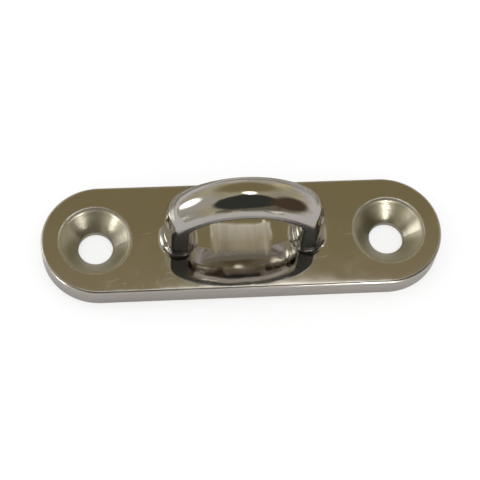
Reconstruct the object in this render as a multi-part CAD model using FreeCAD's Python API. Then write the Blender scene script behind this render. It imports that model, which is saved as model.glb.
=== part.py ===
import FreeCAD, Part
import math
import os

from FreeCAD import Vector

# Eye plate: a flat base with two countersunk screw holes and one standing eye, cast as one piece.
# Frame: origin at the centre of the underside, +X along the plate, +Z up through the eye.
# All lengths are in millimetres, and the one angle is in degrees.

# Base plate, with straight long sides and a half-round at each end
PLATE_LENGTH = 60.0
PLATE_WIDTH = 17.3
PLATE_THICKNESS = 3.8
PLATE_TOP_ROUND = 0.35
PLATE_FOOT_ROUND = 0.25

# Screw holes, for 5 mm countersunk screws
HOLE_PITCH = 44.0
BORE_DIAMETER = 5.2
COUNTERSINK_DIAMETER = 10.4
COUNTERSINK_ANGLE = 82.0
COUNTERSINK_LIP_ROUND = 0.5

# Eye: a flattened arch, with a straight leg and a tight shoulder arc at each side of a wide top arc.
# The shoulder's radius is that of its inside. The top's swell is how much higher the inside of the
# top arc is in its middle than a level top would be.
EYE_INNER_WIDTH = 15.4
EYE_INNER_HEIGHT = 10.55
EYE_SHOULDER_RADIUS = 3.2
EYE_TOP_SWELL = 1.87
EYE_FOOT_FILLET = 0.5

# The eye's band, which bulges out of its flat sides, full on the outside and low on the inside
EYE_BAND_WIDTH = 6.0
EYE_SIDE_FLAT = 0.7
EYE_OUTER_BULGE = 2.1
EYE_OUTER_CORNER_ROUND = 1.5
EYE_INNER_BULGE = 1.35
EYE_INNER_CORNER_ROUND = 1.0

# How far a cutter passes the faces that it opens
CUTTER_OVERRUN = 1.0

# How closely a place found on the model has to match the place that is looked for
MATCH = 1e-4

PLATE_TOP = PLATE_THICKNESS
LEG_INNER_X = EYE_INNER_WIDTH / 2
LEG_OUTER_X = LEG_INNER_X + EYE_INNER_BULGE + EYE_SIDE_FLAT + EYE_OUTER_BULGE
LEG_ROOT_Z = PLATE_TOP / 2
LEG_HEAD_Z = PLATE_TOP + EYE_INNER_HEIGHT - EYE_TOP_SWELL - EYE_SHOULDER_RADIUS


def line(start, end):
    """A straight edge."""
    return Part.LineSegment(start, end).toShape()


def arc(start, middle, end):
    """A round edge through three points."""
    return Part.Arc(start, middle, end).toShape()


def stadium_face(length, width):
    """A flat face with two straight sides and a half-round at each end, centred on the origin."""
    radius = width / 2
    reach = length / 2 - radius
    near_left = Vector(-reach, -radius, 0)
    near_right = Vector(reach, -radius, 0)
    far_right = Vector(reach, radius, 0)
    far_left = Vector(-reach, radius, 0)
    outline = [
        line(near_left, near_right),
        arc(near_right, Vector(reach + radius, 0, 0), far_right),
        line(far_right, far_left),
        arc(far_left, Vector(-reach - radius, 0, 0), near_left),
    ]
    return Part.Face(Part.Wire(outline))


def level_edges(body, z):
    """The edges of a body that lie flat at one height."""
    return [
        edge for edge in body.Edges
        if abs(edge.BoundBox.ZMin - z) < MATCH and abs(edge.BoundBox.ZMax - z) < MATCH
    ]


def base_plate():
    """The plate, with its top and bottom rims rounded."""
    outline = stadium_face(PLATE_LENGTH, PLATE_WIDTH)
    plate = outline.extrude(Vector(0, 0, PLATE_THICKNESS))
    plate = plate.makeFillet(PLATE_TOP_ROUND, level_edges(plate, PLATE_TOP))
    return plate.makeFillet(PLATE_FOOT_ROUND, level_edges(plate, 0))


def screw_hole_cutter():
    """One countersunk hole, as a solid turned about the Z axis.

    The lip is an arc tangent to the cone and to the plate's top face.
    """
    bore_radius = BORE_DIAMETER / 2
    mouth_radius = COUNTERSINK_DIAMETER / 2
    half_angle = math.radians(COUNTERSINK_ANGLE / 2)
    cone_depth = (mouth_radius - bore_radius) / math.tan(half_angle)
    lip_turn = math.pi / 2 - half_angle
    lip_reach = COUNTERSINK_LIP_ROUND * math.tan(lip_turn / 2)
    lip_centre = Vector(mouth_radius + lip_reach, 0, PLATE_TOP - COUNTERSINK_LIP_ROUND)
    lip_middle_angle = math.pi / 2 + lip_turn / 2
    lip_outward = Vector(math.cos(lip_middle_angle), 0, math.sin(lip_middle_angle))
    floor_z = -CUTTER_OVERRUN
    roof_z = PLATE_TOP + CUTTER_OVERRUN

    axis_foot = Vector(0, 0, floor_z)
    bore_foot = Vector(bore_radius, 0, floor_z)
    cone_foot = Vector(bore_radius, 0, PLATE_TOP - cone_depth)
    cone_head = Vector(
        mouth_radius - lip_reach * math.sin(half_angle),
        0,
        PLATE_TOP - lip_reach * math.cos(half_angle),
    )
    lip_head = Vector(mouth_radius + lip_reach, 0, PLATE_TOP)
    wall_head = Vector(lip_head.x, 0, roof_z)
    axis_head = Vector(0, 0, roof_z)
    outline = [
        line(axis_foot, bore_foot),
        line(bore_foot, cone_foot),
        line(cone_foot, cone_head),
        arc(cone_head, lip_centre + lip_outward * COUNTERSINK_LIP_ROUND, lip_head),
        line(lip_head, wall_head),
        line(wall_head, axis_head),
        line(axis_head, axis_foot),
    ]
    return Part.Face(Part.Wire(outline)).revolve(Vector(0, 0, 0), Vector(0, 0, 1), 360)


def bulge_radius(bulge, corner_radius):
    """The radius of the arc that bulges just so far, with a tangent corner arc at each side."""
    half_width = EYE_BAND_WIDTH / 2
    return (bulge**2 + half_width**2 - 2 * half_width * corner_radius) / (2 * (bulge - corner_radius))


def bulging_side(flat_end_x, outward, bulge, corner_radius):
    """One side of the band's section: a wide arc between two corner arcs, each tangent to the next.

    They start and end where the band's flat sides do. Outward is 1 towards +X and -1 towards -X.
    """
    wide_radius = bulge_radius(bulge, corner_radius)
    corner_y = EYE_BAND_WIDTH / 2 - corner_radius
    bulge_x = flat_end_x + outward * bulge
    wide_centre_x = bulge_x - outward * wide_radius
    # The direction, from the wide arc's centre, of the point where it meets a corner arc
    meeting_angle = math.asin(corner_y / (wide_radius - corner_radius))
    meeting_x = wide_centre_x + outward * wide_radius * math.cos(meeting_angle)
    meeting_y = wide_radius * math.sin(meeting_angle)
    corner_middle_angle = (meeting_angle + math.pi / 2) / 2
    corner_middle_x = flat_end_x + outward * corner_radius * math.cos(corner_middle_angle)
    corner_middle_y = corner_y + corner_radius * math.sin(corner_middle_angle)

    def at(x, y):
        return Vector(x, y, LEG_HEAD_Z)

    near = at(flat_end_x, -EYE_BAND_WIDTH / 2)
    far = at(flat_end_x, EYE_BAND_WIDTH / 2)
    near_meeting = at(meeting_x, -meeting_y)
    far_meeting = at(meeting_x, meeting_y)
    return [
        arc(near, at(corner_middle_x, -corner_middle_y), near_meeting),
        arc(near_meeting, at(bulge_x, 0), far_meeting),
        arc(far_meeting, at(corner_middle_x, corner_middle_y), far),
    ]


def band_section():
    """The band, cut across the head of its right leg."""
    inner_x = LEG_INNER_X + EYE_INNER_BULGE
    outer_x = inner_x + EYE_SIDE_FLAT
    outline = bulging_side(outer_x, 1, EYE_OUTER_BULGE, EYE_OUTER_CORNER_ROUND)
    outline += bulging_side(inner_x, -1, EYE_INNER_BULGE, EYE_INNER_CORNER_ROUND)
    for y in (-EYE_BAND_WIDTH / 2, EYE_BAND_WIDTH / 2):
        outline.append(line(Vector(inner_x, y, LEG_HEAD_Z), Vector(outer_x, y, LEG_HEAD_Z)))
    return Part.Face(Part.Wire(Part.__sortEdges__(outline)))


def eye():
    """The arch: the section goes up the right leg, round its shoulder and over half the top.

    The top arc is the one that is tangent to both shoulders and has the wanted swell.
    The other half is the mirror image.
    """
    shoulder_x = LEG_INNER_X - EYE_SHOULDER_RADIUS
    top_radius = EYE_SHOULDER_RADIUS + (shoulder_x**2 + EYE_TOP_SWELL**2) / (2 * EYE_TOP_SWELL)
    shoulder_centre = Vector(shoulder_x, 0, LEG_HEAD_Z)
    top_centre = Vector(0, 0, PLATE_TOP + EYE_INNER_HEIGHT - top_radius)
    to_shoulder = shoulder_centre - top_centre
    top_half_turn = math.degrees(math.atan2(to_shoulder.x, to_shoulder.z))
    shoulder_turn = 90 - top_half_turn
    axis = Vector(0, -1, 0)

    section = band_section()
    leg = section.extrude(Vector(0, 0, LEG_ROOT_Z - LEG_HEAD_Z))
    shoulder = section.revolve(shoulder_centre, axis, shoulder_turn)
    section.rotate(shoulder_centre, axis, shoulder_turn)
    half_top = section.revolve(top_centre, axis, top_half_turn)
    half = leg.fuse([shoulder, half_top])
    return half.fuse(half.mirror(Vector(0, 0, 0), Vector(1, 0, 0))).removeSplitter()


def foot_edges(body):
    """The edges where the eye's legs meet the top of the plate."""
    reach_x = LEG_OUTER_X + MATCH
    reach_y = EYE_BAND_WIDTH / 2 + MATCH
    return [
        edge for edge in level_edges(body, PLATE_TOP)
        if max(abs(edge.BoundBox.XMin), abs(edge.BoundBox.XMax)) < reach_x
        and max(abs(edge.BoundBox.YMin), abs(edge.BoundBox.YMax)) < reach_y
    ]


def eye_plate():
    """Plate and eye as one casting, with a fillet round each foot, and the two screw holes."""
    body = base_plate().fuse(eye()).removeSplitter()
    body = body.makeFillet(EYE_FOOT_FILLET, foot_edges(body))
    hole = screw_hole_cutter()
    left_hole = hole.translated(Vector(-HOLE_PITCH / 2, 0, 0))
    right_hole = hole.translated(Vector(HOLE_PITCH / 2, 0, 0))
    return body.cut([left_hole, right_hole])


def main():
    """Write the one piece of the part."""
    os.makedirs("parts", exist_ok=True)
    eye_plate().Solids[0].exportStep("parts/eye_plate.step")


main()
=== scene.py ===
import math

import bpy
from mathutils import Matrix, Vector


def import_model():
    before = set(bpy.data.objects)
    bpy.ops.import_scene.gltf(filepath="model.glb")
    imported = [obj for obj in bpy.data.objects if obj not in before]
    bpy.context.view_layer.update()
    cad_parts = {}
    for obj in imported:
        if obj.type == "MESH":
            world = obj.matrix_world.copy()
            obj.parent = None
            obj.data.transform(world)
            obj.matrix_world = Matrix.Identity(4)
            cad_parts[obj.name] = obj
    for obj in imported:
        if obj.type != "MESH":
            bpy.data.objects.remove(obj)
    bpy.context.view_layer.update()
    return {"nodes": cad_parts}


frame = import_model()
plate = frame["nodes"]["eye_plate"]

# Lengths are in metres and angles in degrees, unless a name or a comment says otherwise.

# Camera, fitted to the photograph
CAMERA_AZIMUTH = -10.0
CAMERA_ELEVATION = 64.9
CAMERA_ROLL = 7.0
CAMERA_DISTANCE = 0.220
CAMERA_SHIFT_RIGHT = -0.00042
CAMERA_SHIFT_UP = -0.00079
CAMERA_TARGET = (0.0, 0.0, 0.0038)
CAMERA_CLIP_START = 0.001
CAMERA_CLIP_END = 20.0
PIXELS_PER_METRE = 6700.0
IMAGE_PIXELS = 480
SENSOR_MM = 36.0

# Floor and world. The steel mirrors the floor as grey paper. The camera sees it as white, with a
# share of the shadow on it.
WHITE = (1.0, 1.0, 1.0, 1.0)
FLOOR_SIDE = 6.0
PAPER_COLOUR = (0.59, 0.57, 0.575)
SHADOW_SHARE = 0.35
WORLD_LIGHT = 1.0

# The studio round the object, as its steel mirrors it. A place in it is given by two angles from
# straight up: across towards +X and along towards +Y.
TENT_RADIUS = 1.2
LOW_CARD_DISTANCE = 1.0
CARD_DISTANCE = 0.9
LIGHT_CARD_DISTANCE = 0.8
LAMP_DISTANCE = 0.7
TABLE_CARD_HEIGHT = 0.0002

# The tent is the room, which pales towards the horizon below a height. Drawn-out shapes of a
# length, width and turn make it uneven, from its least strength upwards.
ROOM_COLOUR = (0.46, 0.42, 0.31)
HORIZON_COLOUR = (0.56, 0.54, 0.535)
HORIZON_HEIGHT = 0.36
TENT_SHAPE_LENGTH = 1.3
TENT_SHAPE_WIDTH = 0.4
TENT_SHAPE_TURN = (0, 25, 70)
TENT_LEAST_STRENGTH = 0.5
TENT_STRENGTH_RANGE = 1.0

# Each card in the room: its name, its place across and along, its half width across and along, the
# share of it that its soft rim takes, its colour and its distance. The last two are the lights.
SKY_CARDS = [
    ("room_rear", 4, 44, 38, 32.5, 0.5, (0.256, 0.208, 0.111), CARD_DISTANCE),
    ("left_wall", -70, 5, 30, 55, 0.6, (0.47, 0.45, 0.42), CARD_DISTANCE),
    ("right_wall", 44, 70, 11, 24, 0.7, (0.64, 0.56, 0.38), LOW_CARD_DISTANCE),
    ("camera_flag", 2, -24, 42, 34, 0.25, (0.045, 0.047, 0.045), CARD_DISTANCE),
    ("low_front_flag", 6, -60, 42, 19, 0.4, (0.17, 0.155, 0.12), LOW_CARD_DISTANCE),
    ("brown_flag", 56, -20, 32, 30, 0.45, (0.085, 0.06, 0.04), CARD_DISTANCE),
    ("left_rear_flag", -80, 62, 8, 14, 0.5, (0.42, 0.38, 0.40), CARD_DISTANCE),
    ("overhead_light", 5.5, 13.5, 11, 9.5, 0.6, (3.2, 3.2, 3.15), LIGHT_CARD_DISTANCE),
    ("left_light", -65, 20, 16, 17, 0.6, (3.0, 3.0, 2.95), LIGHT_CARD_DISTANCE),
]

# Each card close to the object: its name, its place, the way that its back faces, its half width
# and half height, its rim's share and its colour. The two lights make the streaks in the cones, and
# the two gobos keep those lights off the eye.
NEAR_CARDS = [
    ("near_front_light", (0.031, -0.066, 0.020), (31, -66, 20), 0.006, 0.008, 0.6, (95.0, 93.0, 90.0)),
    ("low_left_light", (-0.178, -0.091, 0.041), (-178, -91, 41), 0.022, 0.020, 0.6, (26.0, 25.6, 24.8)),
    ("near_front_gobo", (0.022, -0.056, 0.020), (1, 0, 0), 0.023, 0.024, 0.15, (0.27, 0.25, 0.21)),
    ("low_left_gobo", (-0.0445, -0.0205, 0.0225), (168, 88, -27), 0.014, 0.010, 0.15, (0.42, 0.40, 0.36)),
]

# Each card on the table: its name, its place in X and Y, its half length in X and Y, its rim's
# share and its colour
TABLE_CARDS = [
    ("left_table_glow", -0.055, 0.010, 0.024, 0.024, 0.6, (1.2, 1.2, 1.17)),
    ("rear_foot_shade", 0.002, 0.034, 0.090, 0.028, 0.3, (0.30, 0.28, 0.24)),
    ("rear_table", 0.060, 0.520, 0.200, 0.500, 0.2, (0.30, 0.28, 0.23)),
]

# Each lamp that lights the floor: its name, its place across and along, its half width across and
# along, and its radiance
LAMPS = [
    ("overhead_softbox", 6.0, 13.5, 9.0, 8.0, 3.0),
    ("left_softbox", -66.0, 23.0, 13.5, 12.0, 2.6),
]

# Steel: its colour, and the features of the part that its finish follows, all in mm
STEEL_COLOUR = (0.60, 0.575, 0.53)
# The cones' warmer colour is a painted reflection of the olive room
CONE_REFLECTION_TINT = (0.64, 0.61, 0.49)
MM_PER_METRE = 1000.0
METRES_PER_MM = 0.001
PLATE_TOP_Z = 3.8
PLATE_TOP_ROUND = 0.35
PLATE_HALF_WIDTH = 8.65
PLATE_END_CENTRE_X = 21.35
HOLE_X = 22.0
BORE_RADIUS = 2.6
CONE_RADIUS = 5.2
FOOT_X = 9.65
FOOT_HALF_X = 2.25
FOOT_HALF_Y = 3.05
BAND_HALF_WIDTH = 3.0

# Polish, in mm: the size of its slow waves and of its haze, and the spacing and radius of the pits.
# The turned rings in the screw holes are given by how many there are in a mm.
WAVE_SIZE = 6.0
HAZE_SIZE = 2.6
PIT_SPACING = 2.8
PIT_RADIUS = 0.1
RINGS_PER_MM = 5.5

# Lines in the steel: their turn about the three axes, and their length and width in mm
HAIRLINES = [
    ((0, 0, 12), 5.0, 0.11),
    ((8, 0, 74), 4.0, 0.10),
    ((0, 38, -40), 3.4, 0.10),
]
PATCH_STROKES = ((0, 0, 90), 12.0, 1.1)
GRINDING_LINES = ((0, 0, 24), 12.0, 0.18)

# Noise at which each of these marks starts and at which it is full. The pits go by a random number
# of each cell instead.
BLOOM_NOISE = (0.45, 0.75)
HAIRLINE_NOISE = (0.69, 0.77)
PIT_CHANCE = (0.36, 0.30)
NICK_NOISE = (0.56, 0.66)

# The finish is made of masks, from 0 outside to 1 inside. Each fade is the place, in mm, where a
# mask is 0 and the place where it is 1. Those named for no axis go by the way from an outline.
TOP_FADE_Z = (PLATE_TOP_Z + 0.25, PLATE_TOP_Z + 0.05)
EYE_FADE_Z = (PLATE_TOP_Z + 0.1, PLATE_TOP_Z + 0.5)
WALL_FADE_Z = (PLATE_TOP_Z - PLATE_TOP_ROUND + 0.1, PLATE_TOP_Z - PLATE_TOP_ROUND - 0.05)
UNDERSIDE_FADE_Z = (0.08, 0.01)
FLAT_SIDE_FADE_Y = (BAND_HALF_WIDTH - 0.3, BAND_HALF_WIDTH - 0.02)

# Screw holes, by the way from their axis, and their lip, by the way from its own circle
CONE_FADE = (CONE_RADIUS + 0.3, CONE_RADIUS - 0.15)
BORE_FADE = (BORE_RADIUS + 0.15, BORE_RADIUS + 0.05)
LIP_RADIUS = CONE_RADIUS + 0.05
LIP_FADE = (0.45, 0.15)

# Rim of the plate, by the way in from its outline
ROLLED_REACH = 0.5
ROLLED_FADE_X = (3.0, 6.0)
NICK_FADE = (0.7, 0.1)
NICK_FADE_Z = (PLATE_TOP_Z - 0.5, PLATE_TOP_Z - 0.2)
RIM_FADE = (0.5, 0.25)
RIM_FADE_Z = (PLATE_TOP_Z - 0.5, PLATE_TOP_Z - 0.35)

# Feet of the eye, by the way out from a foot's oval and, along X, from its middle
BUFFED_FADE = (1.1, 0.15)
BUFFED_FADE_Y = (2.5, 1.2)
BUFFED_FADE_Z = (PLATE_TOP_Z + 0.8, PLATE_TOP_Z + 0.4)
ABOVE_RIM_FADE_Z = (PLATE_TOP_Z - 0.1, PLATE_TOP_Z - 0.05)
# The corners round the feet are rougher and carry painted shade, darkest before each leg
CORNER_FADE = (0.7, 0.3)
CORNER_FADE_Z = (PLATE_TOP_Z + 1.1, PLATE_TOP_Z + 0.3)
ROUGH_CORNER_FRONT_FADE_Y = (-1.2, -2.6)
FRONT_CORNER_FADE = (0.95, 0.6)
FRONT_CORNER_FADE_X = (1.9, 1.2)
FRONT_CORNER_FADE_Y = (-2.2, -2.8)
FRONT_CORNER_FADE_Z = (PLATE_TOP_Z + 1.0, PLATE_TOP_Z + 0.4)

# The satin patch under the eye and the two bars at its sides, by the way from their middles. Both
# carry painted light. Raggedness moves an outline to and fro.
PATCH_X = -0.35
PATCH_Y = -0.6
PATCH_FADE_X = (4.8, 3.7)
PATCH_FADE_Y = (2.9, 1.6)
PATCH_FRONT_FADE_Y = (0.8, -1.8)
BARS_X = -0.45
BARS_Y = -0.5
BAR_REACH = 3.75
BAR_FADE_X = (0.4, 0.1)
BAR_FADE_Y = (3.2, 2.6)
RAGGEDNESS_X = 2.2
RAGGEDNESS_Y = 2.0

# How many mm each mark of the finish raises the surface, as reflections show it. The cone's slope
# is for each mm away from its rim, and shades the cones a few degrees shallower than they are.
HEIGHTS = {
    "waves": 0.035,
    "rolled_edge": -0.013,
    "haze": 0.001,
    "rings": 0.025,
    "cone_slope": -0.15,
    "strokes_and_painted_sheen": 0.002,
    "grinding": 0.006,
    "buffed_foot": 0.22,
    "scratches": -0.0007,
    "pits": -0.012,
    "nicks": -0.003,
}

# What each mark adds to the roughness of the bare polish
POLISH_ROUGHNESS = 0.055
ROUGHNESSES = {
    "bloom": 0.03,
    "scratches": 0.04,
    "pits": 0.12,
    "nicks": 0.06,
    "cone": 0.26,
    "bore": 0.06,
    "side": 0.09,
    "underside": 0.28,
    "satin_patch_and_painted_light": 0.26,
    "strokes_and_painted_sheen": 0.2,
    "bars_and_painted_highlights": 0.2,
    "rough_corner_and_painted_shade": 0.3,
    "lip": 0.2,
    "rim": 0.24,
    "flat_side": 0.16,
}

# What each mark adds to the brightness of the steel's colour, which is 1 without them. The painted
# foot shade is the darker of two painted shades, that of the rougher corners round the feet and that
# of the corner before each leg. The lip carries a little painted shade, and the satin patch, its
# strokes, its front and the bars carry painted light.
ROUGH_CORNER_PAINTED_SHADE = 0.68
FRONT_CORNER_PAINTED_SHADE = 0.85
BRIGHTNESSES = {
    "painted_foot_shade": -1.0,
    "lip": -0.1,
    "pits": -0.12,
    "mottle": 0.04,
    "strokes_and_painted_sheen": 0.8,
    "satin_patch_and_painted_light": -0.3,
    "painted_light_patch_front": 0.35,
    "bars_and_painted_highlights": 0.3,
}


def new_material(name):
    """A material with an empty node tree, and that tree."""
    material = bpy.data.materials.new(name)
    material.use_nodes = True
    tree = material.node_tree
    tree.nodes.clear()
    return material, tree


def node(tree, kind, **settings):
    made = tree.nodes.new("ShaderNode" + kind)
    for name, value in settings.items():
        setattr(made, name, value)
    return made


def join(tree, *pairs):
    for start, end in pairs:
        tree.links.new(start, end)


class Value:
    """A node's output that can be added, multiplied and stepped like a number."""

    def __init__(self, tree, socket):
        self.tree = tree
        self.socket = socket

    def maths(self, operation, *values):
        made = node(self.tree, "Math", operation=operation)
        for socket, value in zip(made.inputs, values):
            if isinstance(value, Value):
                self.tree.links.new(value.socket, socket)
            else:
                socket.default_value = value
        return Value(self.tree, made.outputs[0])

    def __add__(self, other):
        return self.maths("ADD", self, other)

    def __radd__(self, other):
        return self.maths("ADD", other, self)

    def __sub__(self, other):
        return self.maths("SUBTRACT", self, other)

    def __rsub__(self, other):
        return self.maths("SUBTRACT", other, self)

    def __mul__(self, other):
        return self.maths("MULTIPLY", self, other)

    def __rmul__(self, other):
        return self.maths("MULTIPLY", other, self)

    def absolute(self):
        return self.maths("ABSOLUTE", self)

    def at_least(self, other):
        return self.maths("MAXIMUM", self, other)

    def length_with(self, other):
        """The length of the flat vector that this value and another one make."""
        return self.maths("SQRT", self * self + other * other)

    def fading(self, reach):
        """1 at zero, and less by a factor e for each reach away from it."""
        return self.maths("EXPONENT", self * (-1.0 / reach))

    def step(self, zero_at, one_at):
        """A smooth step between the value where it is 0 and the value where it is 1."""
        made = node(self.tree, "MapRange", interpolation_type="SMOOTHSTEP")
        made.inputs["From Min"].default_value = zero_at
        made.inputs["From Max"].default_value = one_at
        self.tree.links.new(self.socket, made.inputs["Value"])
        return Value(self.tree, made.outputs["Result"])


def weighted_sum(start, weights, marks):
    """A start value, and each mark times the weight of its name."""
    total = start
    for name, weight in weights.items():
        total = total + weight * marks[name]
    return total


def noise(tree, place, size, detail=2.0):
    """Cloudy noise from 0 to 1, with features of one size."""
    made = node(tree, "TexNoise")
    made.inputs["Scale"].default_value = 1.0 / size
    made.inputs["Detail"].default_value = detail
    tree.links.new(place, made.inputs["Vector"])
    return Value(tree, made.outputs[0])


def drawn_noise(tree, place, turn, length, width):
    """Noise drawn out into lines of a length and width, turned about the three axes."""
    drawn = node(tree, "Mapping", vector_type="TEXTURE")
    drawn.inputs["Rotation"].default_value = [math.radians(angle) for angle in turn]
    drawn.inputs["Scale"].default_value = (length, width, width)
    tree.links.new(place, drawn.inputs["Vector"])
    return noise(tree, drawn.outputs[0], 1.0)


def hairlines(tree, place, turn, length, width):
    """The few highest ridges of drawn noise, as separate scratches."""
    return drawn_noise(tree, place, turn, length, width).step(*HAIRLINE_NOISE)


def pits(tree, place, spacing, radius):
    """Small round casting pits, in about a third of the cells of a loose grid."""
    cells = node(tree, "TexVoronoi", feature="F1")
    cells.inputs["Scale"].default_value = 1.0 / spacing
    join(tree, (place, cells.inputs["Vector"]))
    chance = node(tree, "SeparateColor")
    join(tree, (cells.outputs["Color"], chance.inputs[0]))
    chosen = Value(tree, chance.outputs[0]).step(*PIT_CHANCE)
    depth = Value(tree, cells.outputs["Distance"]).step(radius / spacing, 0.3 * radius / spacing)
    return chosen * depth


class Surface:
    """Where a point of the part lies, in mm, and the cloudy noise of its polish."""

    def __init__(self, tree):
        coordinates = node(tree, "TexCoord")
        scaled = node(tree, "VectorMath", operation="SCALE")
        scaled.inputs["Scale"].default_value = MM_PER_METRE
        axes = node(tree, "SeparateXYZ")
        join(
            tree,
            (coordinates.outputs["Object"], scaled.inputs[0]),
            (scaled.outputs[0], axes.inputs[0]),
        )
        self.tree = tree
        self.place = scaled.outputs[0]
        self.x, self.y, self.z = [Value(tree, socket) for socket in axes.outputs]

        # The way from the nearest screw hole's axis and from the plate's outline
        either_x = self.x.absolute()
        past_end_centre = (either_x - PLATE_END_CENTRE_X).at_least(0.0)
        self.from_hole = (either_x - HOLE_X).length_with(self.y)
        self.from_outline = PLATE_HALF_WIDTH - past_end_centre.length_with(self.y)

        # The way from the nearest foot of the eye, which is taken as an oval
        self.from_foot_middle = either_x - FOOT_X
        oval_x = self.from_foot_middle * (1.0 / FOOT_HALF_X)
        oval_y = self.y * (1.0 / FOOT_HALF_Y)
        self.from_foot = (oval_x.length_with(oval_y) - 1.0) * FOOT_HALF_Y

        self.cone = self.from_hole.step(*CONE_FADE)
        self.on_top = self.z.step(*TOP_FADE_Z)
        self.eye = self.z.step(*EYE_FADE_Z)
        self.waves = noise(tree, self.place, WAVE_SIZE, detail=1.0)
        self.haze = noise(tree, self.place, HAZE_SIZE, detail=4.0)


def polish_marks(at):
    """Slow waves, a hazy bloom, a mottled eye, hairlines in three directions, and casting pits."""
    return {
        "waves": at.waves,
        "haze": at.haze,
        "bloom": at.haze.step(*BLOOM_NOISE),
        "mottle": (at.haze - 0.5) * at.eye,
        "scratches": sum(hairlines(at.tree, at.place, *lines) for lines in HAIRLINES),
        "pits": pits(at.tree, at.place, PIT_SPACING, PIT_RADIUS),
    }


def hole_marks(at):
    """Turned screw holes: fine uneven rings, a cone that is shaded less steep, and a dull lip with a
    little painted shade.
    """
    rings = node(at.tree, "TexNoise", noise_dimensions="1D")
    rings.inputs["Scale"].default_value = RINGS_PER_MM
    rings.inputs["Detail"].default_value = 2.0
    join(at.tree, (at.from_hole.socket, rings.inputs["W"]))
    from_lip = (at.from_hole - LIP_RADIUS).absolute()
    return {
        "cone": at.cone,
        "bore": at.from_hole.step(*BORE_FADE),
        "rings": Value(at.tree, rings.outputs[0]) * at.cone,
        "cone_slope": (at.from_hole - CONE_RADIUS) * at.cone,
        # The lip is rougher and darkened a little with painted shade
        "lip": from_lip.step(*LIP_FADE) * (0.6 + 0.6 * at.haze),
    }


def patch_marks(at):
    """The satin patch under the eye, which could not be buffed, and the bars at its sides.

    Its outline is ragged, its strokes run through the eye, and its front is the brightest. The patch,
    its strokes and the bars are rougher, and their brightness is painted light: a painted sheen in the
    patch and its strokes, and painted highlights in the bars.
    """
    ragged_x = at.x + (at.haze - 0.5) * RAGGEDNESS_X
    ragged_y = at.y + (at.waves - 0.5) * RAGGEDNESS_Y
    satin_patch_and_painted_light = (ragged_x - PATCH_X).absolute().step(*PATCH_FADE_X)
    satin_patch_and_painted_light = satin_patch_and_painted_light * (ragged_y - PATCH_Y).absolute().step(*PATCH_FADE_Y) * at.on_top
    from_bar = ((at.x - BARS_X).absolute() - BAR_REACH).absolute()
    bars_and_painted_highlights = from_bar.step(*BAR_FADE_X) * (ragged_y - BARS_Y).absolute().step(*BAR_FADE_Y)
    # The roughness of these marks is the satin finish, and their brightness is painted light
    return {
        "satin_patch_and_painted_light": satin_patch_and_painted_light,
        "painted_light_patch_front": at.y.step(*PATCH_FRONT_FADE_Y) * satin_patch_and_painted_light,
        "strokes_and_painted_sheen": drawn_noise(at.tree, at.place, *PATCH_STROKES) * satin_patch_and_painted_light,
        "bars_and_painted_highlights": bars_and_painted_highlights * at.on_top,
    }


def edge_marks(at):
    """A rim that is rolled off unevenly, with small nicks, and the dull sides of plate and eye.

    The right half of the rim is rolled off the most.
    """
    rolled = at.from_outline.fading(ROLLED_REACH)
    nicked = at.haze.step(*NICK_NOISE) * at.z.step(*NICK_FADE_Z)
    return {
        "rolled_edge": rolled * (0.2 + at.x.step(*ROLLED_FADE_X)) * (0.5 + at.waves),
        "nicks": at.from_outline.step(*NICK_FADE) * nicked,
        "rim": at.from_outline.step(*RIM_FADE) * at.z.step(*RIM_FADE_Z),
        "side": at.z.step(*WALL_FADE_Z) * (1.0 - at.cone),
        "flat_side": at.y.absolute().step(*FLAT_SIDE_FADE_Y) * at.eye,
    }


def foot_marks(at):
    """Feet that are buffed softer at their sides, with rougher corners round them.

    The corners carry painted shade, darkest in the corner in front of each leg.
    """
    above_rim = at.z.step(*ABOVE_RIM_FADE_Z)
    corner = at.from_foot.step(*CORNER_FADE) * at.z.step(*CORNER_FADE_Z) * above_rim
    # The rougher corners carry painted shade, more of it towards the front
    rough_corner_and_painted_shade = corner * (0.3 + 0.4 * at.haze + 0.5 * at.y.step(*ROUGH_CORNER_FRONT_FADE_Y))
    # Painted shade in the corner in front of each leg
    painted_front_corner_shade = at.from_foot.step(*FRONT_CORNER_FADE) * at.z.step(*FRONT_CORNER_FADE_Z) * above_rim
    before_leg = at.from_foot_middle.absolute().step(*FRONT_CORNER_FADE_X)
    painted_front_corner_shade = painted_front_corner_shade * at.y.step(*FRONT_CORNER_FADE_Y) * before_leg
    buffed = at.from_foot.step(*BUFFED_FADE) * at.z.step(*BUFFED_FADE_Z)
    return {
        "buffed_foot": buffed * at.y.absolute().step(*BUFFED_FADE_Y),
        "rough_corner_and_painted_shade": rough_corner_and_painted_shade,
        "painted_foot_shade": (ROUGH_CORNER_PAINTED_SHADE * rough_corner_and_painted_shade).at_least(FRONT_CORNER_PAINTED_SHADE * painted_front_corner_shade),
    }


def underside_marks(at):
    """An underside with coarse, slanting grinding lines."""
    underside = at.z.step(*UNDERSIDE_FADE_Z)
    return {
        "underside": underside,
        "grinding": drawn_noise(at.tree, at.place, *GRINDING_LINES) * underside,
    }


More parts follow.
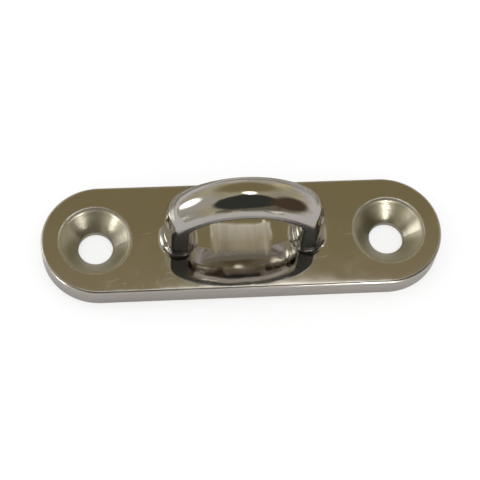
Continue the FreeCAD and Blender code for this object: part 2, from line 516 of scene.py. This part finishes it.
def steel():
    """Cast stainless steel, polished by hand: mirror-like, with satin holes, small marks of use, and
    painted light and shade in its colour.
    """
    material, tree = new_material("polished_steel")
    out = node(tree, "OutputMaterial")
    shader = node(tree, "BsdfPrincipled")
    shader.inputs["Metallic"].default_value = 1.0
    at = Surface(tree)
    marks = {
        **polish_marks(at),
        **hole_marks(at),
        **patch_marks(at),
        **edge_marks(at),
        **foot_marks(at),
        **underside_marks(at),
    }
    height = weighted_sum(0.0, HEIGHTS, marks)
    roughness = weighted_sum(POLISH_ROUGHNESS, ROUGHNESSES, marks)
    brightness = weighted_sum(1.0, BRIGHTNESSES, marks)

    bump = node(tree, "Bump")
    bump.inputs["Distance"].default_value = METRES_PER_MM
    # The cones take the tint of a painted reflection
    tinted = node(tree, "VectorMath", operation="MULTIPLY_ADD")
    tinted.inputs[1].default_value = Vector(CONE_REFLECTION_TINT) - Vector(STEEL_COLOUR)
    tinted.inputs[2].default_value = STEEL_COLOUR
    colour = node(tree, "VectorMath", operation="SCALE")
    join(
        tree,
        (height.socket, bump.inputs["Height"]),
        (bump.outputs[0], shader.inputs["Normal"]),
        (roughness.socket, shader.inputs["Roughness"]),
        (marks["cone"].socket, tinted.inputs[0]),
        (tinted.outputs[0], colour.inputs[0]),
        (brightness.socket, colour.inputs["Scale"]),
        (colour.outputs[0], shader.inputs["Base Color"]),
        (shader.outputs[0], out.inputs["Surface"]),
    )
    return material


def direction(across, along):
    """The direction of a place in the room."""
    tilt = math.radians(math.hypot(across, along))
    turn = math.atan2(along, across)
    return Vector((math.sin(tilt) * math.cos(turn), math.sin(tilt) * math.sin(turn), math.cos(tilt)))


def facing(place, way):
    """A flat thing's place and turn: its back to a way, and its Y axis as upright as that allows."""
    return Matrix.Translation(place) @ Vector(way).to_track_quat("Z", "Y").to_matrix().to_4x4()


def only_in_reflections(obj):
    obj.visible_camera = False
    obj.visible_diffuse = False
    obj.visible_transmission = False
    obj.visible_volume_scatter = False
    obj.visible_shadow = False


def soft_card(name, matrix, half_width, half_height, softness, colour):
    """An oval card with a soft rim that only reflections see."""
    material, tree = new_material(name)
    out = node(tree, "OutputMaterial")
    place = node(tree, "TexCoord")
    length = node(tree, "VectorMath", operation="LENGTH")
    glow = node(tree, "Emission")
    glow.inputs["Color"].default_value = (*colour, 1.0)
    clear = node(tree, "BsdfTransparent")
    both = node(tree, "MixShader")
    join(tree, (place.outputs["Object"], length.inputs[0]))
    cover = Value(tree, length.outputs["Value"]).step(1.0, 1.0 - softness)
    join(
        tree,
        (cover.socket, both.inputs["Fac"]),
        (clear.outputs[0], both.inputs[1]),
        (glow.outputs[0], both.inputs[2]),
        (both.outputs[0], out.inputs["Surface"]),
    )
    mesh = bpy.data.meshes.new(name)
    mesh.from_pydata([(-1, -1, 0), (1, -1, 0), (1, 1, 0), (-1, 1, 0)], [], [(0, 1, 2, 3)])
    mesh.materials.append(material)
    obj = bpy.data.objects.new(name, mesh)
    bpy.context.scene.collection.objects.link(obj)
    obj.matrix_world = matrix @ Matrix.Diagonal((half_width, half_height, 1.0, 1.0))
    only_in_reflections(obj)


def sky_card(name, across, along, half_across, half_along, softness, colour, distance):
    """A soft card in the room, square to the line from the object. It shines on both sides."""
    place = direction(across, along) * distance
    half_width = distance * math.tan(math.radians(half_across))
    half_height = distance * math.tan(math.radians(half_along))
    soft_card(name, facing(place, place), half_width, half_height, softness, colour)


def near_card(name, place, way, half_width, half_height, softness, colour):
    """A soft card close to the object."""
    soft_card(name, facing(place, way), half_width, half_height, softness, colour)


def table_card(name, x, y, half_x, half_y, softness, colour):
    """A soft card that lies on the table."""
    matrix = Matrix.Translation((x, y, TABLE_CARD_HEIGHT))
    soft_card(name, matrix, half_x, half_y, softness, colour)


def softbox(name, across, along, half_across, half_along, radiance):
    """An oval area lamp that lights the floor. In its place, the steel mirrors a card."""
    data = bpy.data.lights.new(name, "AREA")
    data.shape = "ELLIPSE"
    data.size = 2 * LAMP_DISTANCE * math.tan(math.radians(half_across))
    data.size_y = 2 * LAMP_DISTANCE * math.tan(math.radians(half_along))
    area = math.pi * data.size * data.size_y / 4
    data.energy = radiance * math.pi * area
    obj = bpy.data.objects.new(name, data)
    bpy.context.scene.collection.objects.link(obj)
    place = direction(across, along) * LAMP_DISTANCE
    obj.matrix_world = facing(place, place)
    obj.visible_glossy = False


def tent():
    """The room's walls and ceiling, for the reflections."""
    bpy.ops.mesh.primitive_uv_sphere_add(segments=96, ring_count=48, radius=TENT_RADIUS)
    obj = bpy.context.object
    obj.name = "room_tent"
    material, tree = new_material("room_tent")
    out = node(tree, "OutputMaterial")
    glow = node(tree, "Emission")
    place = node(tree, "TexCoord")
    axes = node(tree, "SeparateXYZ")
    blend = node(tree, "VectorMath", operation="MULTIPLY_ADD")
    blend.inputs[1].default_value = Vector(HORIZON_COLOUR) - Vector(ROOM_COLOUR)
    blend.inputs[2].default_value = ROOM_COLOUR
    join(tree, (place.outputs["Object"], axes.inputs[0]))
    low = Value(tree, axes.outputs["Z"]).step(HORIZON_HEIGHT, 0.0)
    shapes = drawn_noise(
        tree, place.outputs["Object"], TENT_SHAPE_TURN, TENT_SHAPE_LENGTH, TENT_SHAPE_WIDTH
    )
    strength = TENT_LEAST_STRENGTH + TENT_STRENGTH_RANGE * shapes
    join(
        tree,
        (low.socket, blend.inputs[0]),
        (blend.outputs[0], glow.inputs["Color"]),
        (strength.socket, glow.inputs["Strength"]),
        (glow.outputs[0], out.inputs["Surface"]),
    )
    obj.data.materials.append(material)
    only_in_reflections(obj)


def floor():
    bpy.ops.mesh.primitive_plane_add(size=FLOOR_SIDE)
    obj = bpy.context.object
    obj.name = "floor"
    material, tree = new_material("floor")
    out = node(tree, "OutputMaterial")
    paper = node(tree, "BsdfDiffuse")
    paper.inputs["Color"].default_value = (*PAPER_COLOUR, 1.0)
    shaded = node(tree, "BsdfDiffuse")
    shaded.inputs["Color"].default_value = WHITE
    white = node(tree, "Emission")
    seen = node(tree, "MixShader")
    seen.inputs["Fac"].default_value = SHADOW_SHARE
    path = node(tree, "LightPath")
    both = node(tree, "MixShader")
    join(
        tree,
        (white.outputs[0], seen.inputs[1]),
        (shaded.outputs[0], seen.inputs[2]),
        (path.outputs["Is Camera Ray"], both.inputs["Fac"]),
        (paper.outputs[0], both.inputs[1]),
        (seen.outputs[0], both.inputs[2]),
        (both.outputs[0], out.inputs["Surface"]),
    )
    obj.data.materials.append(material)


def world():
    made = bpy.data.worlds.new("studio")
    bpy.context.scene.world = made
    made.use_nodes = True
    background = made.node_tree.nodes["Background"]
    background.inputs["Color"].default_value = WHITE
    background.inputs["Strength"].default_value = WORLD_LIGHT


def camera():
    azimuth, elevation, roll = map(math.radians, (CAMERA_AZIMUTH, CAMERA_ELEVATION, CAMERA_ROLL))
    back = Vector((
        math.sin(azimuth) * math.cos(elevation),
        -math.cos(azimuth) * math.cos(elevation),
        math.sin(elevation),
    ))
    level_right = Vector((math.cos(azimuth), math.sin(azimuth), 0))
    level_up = back.cross(level_right)
    right = math.cos(roll) * level_right + math.sin(roll) * level_up
    up = math.cos(roll) * level_up - math.sin(roll) * level_right
    place = Vector(CAMERA_TARGET) + back * CAMERA_DISTANCE
    place += right * CAMERA_SHIFT_RIGHT + up * CAMERA_SHIFT_UP
    data = bpy.data.cameras.new("camera")
    data.sensor_width = SENSOR_MM
    data.lens = PIXELS_PER_METRE * CAMERA_DISTANCE * SENSOR_MM / IMAGE_PIXELS
    data.clip_start = CAMERA_CLIP_START
    data.clip_end = CAMERA_CLIP_END
    obj = bpy.data.objects.new("camera", data)
    bpy.context.scene.collection.objects.link(obj)
    obj.matrix_world = Matrix((
        (right.x, up.x, back.x, place.x),
        (right.y, up.y, back.y, place.y),
        (right.z, up.z, back.z, place.z),
        (0, 0, 0, 1),
    ))
    bpy.context.scene.camera = obj


for slot in plate.material_slots:
    slot.material = steel()
# Normals weighted by face area shade the flat faces flat, right up to their fillets
weighted = plate.modifiers.new("weighted_normals", "WEIGHTED_NORMAL")
weighted.mode = "FACE_AREA"
weighted.keep_sharp = True

floor()
world()
tent()
for card in SKY_CARDS:
    sky_card(*card)
for card in NEAR_CARDS:
    near_card(*card)
for card in TABLE_CARDS:
    table_card(*card)
for lamp in LAMPS:
    softbox(*lamp)
camera()

bpy.context.scene.view_settings.view_transform = "Standard"
